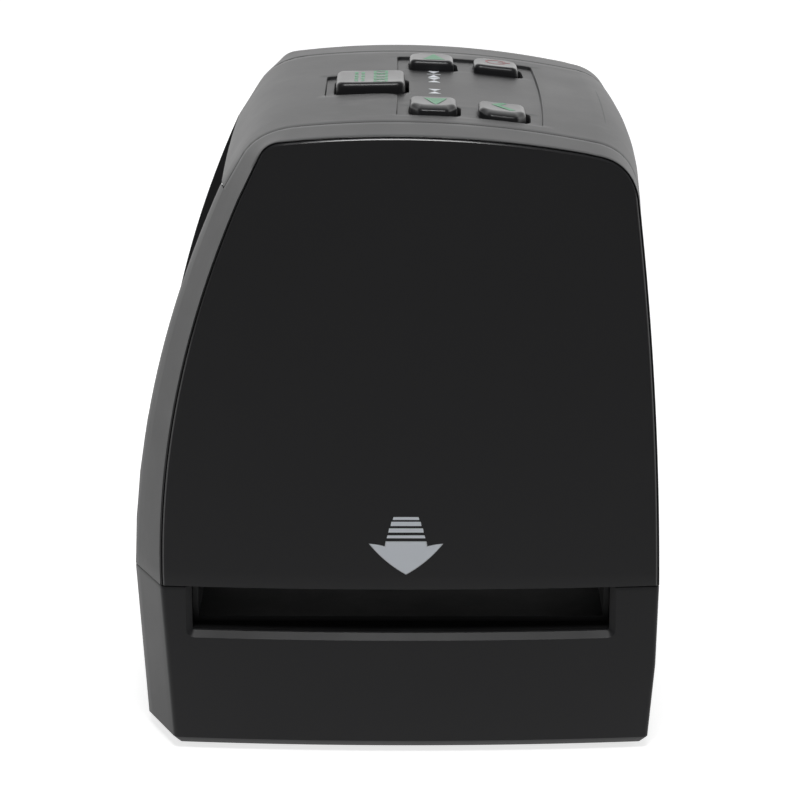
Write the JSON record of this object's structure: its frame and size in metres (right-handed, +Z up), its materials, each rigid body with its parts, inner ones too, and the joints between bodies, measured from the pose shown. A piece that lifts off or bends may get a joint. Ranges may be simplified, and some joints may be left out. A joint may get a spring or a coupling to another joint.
{
  "type": "film negative scanner",
  "caption": "Desktop scanner for film and slides: a tower with a film slot through its base, a tilted display window and sprung keys on top.",
  "frame": {"origin": "centre of the bounding box's underside, on the table", "axes": "X across the body along the film slot, -Y the front with the display window, +Z up"},
  "size_m": [0.086, 0.0874, 0.1051],
  "materials": {
    "shell": "fine spark-eroded texture, matte black",
    "key": "satin black with pad-printed signs",
    "inner": "moulded, dark grey",
    "optic_black": "dead black",
    "white_plastic": "moulded, white",
    "diffuser": "translucent opal",
    "window": "smoked clear acrylic",
    "lens_glass": "coated",
    "display": "dark liquid crystal panel",
    "board": "green solder mask",
    "chip": "epoxy",
    "plated": "nickel-plated steel",
    "ribbon": "amber film",
    "rubber": "soft, dark grey",
    "led": "phosphor coated"
  },
  "bodies": {
    "chassis": {"bottom_case": "shell", "right_side_cover": "shell", "left_side_cover": "shell", "top_cover": "shell", "front_cover": "shell", "rear_cover": "shell", "display_window": "window", "rubber_feet": "rubber", "case_screws": "plated", "key_board": "board", "switch_bodies": "inner", "lower_film_guide": "inner", "upper_film_guide": "inner", "detent_spring": "plated", "light_box": "white_plastic", "diffuser": "diffuser", "lamp_board": "board", "lamp_leds": "led", "lamp_ribbon": "ribbon", "lens_hood": "optic_black", "lens_mount": "inner", "lens_barrel": "optic_black", "front_lens": "lens_glass", "rear_lens": "lens_glass", "image_sensor": "chip", "sensor_board": "board", "sensor_ribbon": "ribbon", "lcd_module": "display", "lcd_bracket": "plated", "lcd_screws": "plated", "display_ribbon": "ribbon", "main_board": "board", "main_chips": "chip", "ribbon_sockets": "white_plastic", "port_board": "board", "card_socket": "plated", "usb_socket": "plated", "video_socket": "inner", "board_screws": "plated", "key_ribbon": "ribbon"},
    "scan_key": {"scan_button": "key", "scan_plunger": "inner"},
    "left_arrow_key": {"left_arrow_button": "key", "left_arrow_plunger": "inner"},
    "right_arrow_key": {"right_arrow_button": "key", "right_arrow_plunger": "inner"},
    "power_key": {"power_button": "key", "power_plunger": "inner"},
    "ok_key": {"ok_button": "key", "ok_plunger": "inner"},
    "detent": {"detent_plunger": "plated"}
  },
  "joints": [
    {"name": "scan_press", "type": "slide", "parent": "chassis", "child": "scan_key", "axis": [0, 0, -1], "range_m": [0, 0.0005], "stiffness_N_per_m": 3000},
    {"name": "left_arrow_press", "type": "slide", "parent": "chassis", "child": "left_arrow_key", "axis": [0, 0, -1], "range_m": [0, 0.0005], "stiffness_N_per_m": 3000},
    {"name": "right_arrow_press", "type": "slide", "parent": "chassis", "child": "right_arrow_key", "axis": [0, 0, -1], "range_m": [0, 0.0005], "stiffness_N_per_m": 3000},
    {"name": "power_press", "type": "slide", "parent": "chassis", "child": "power_key", "axis": [0, 0, -1], "range_m": [0, 0.0005], "stiffness_N_per_m": 3000},
    {"name": "ok_press", "type": "slide", "parent": "chassis", "child": "ok_key", "axis": [0, 0, -1], "range_m": [0, 0.0005], "stiffness_N_per_m": 3000},
    {"name": "detent_slide", "type": "slide", "parent": "chassis", "child": "detent", "axis": [0, 1, 0], "range_m": [0, 0.0008], "stiffness_N_per_m": 400, "deforming": ["detent_spring"]}
  ]
}
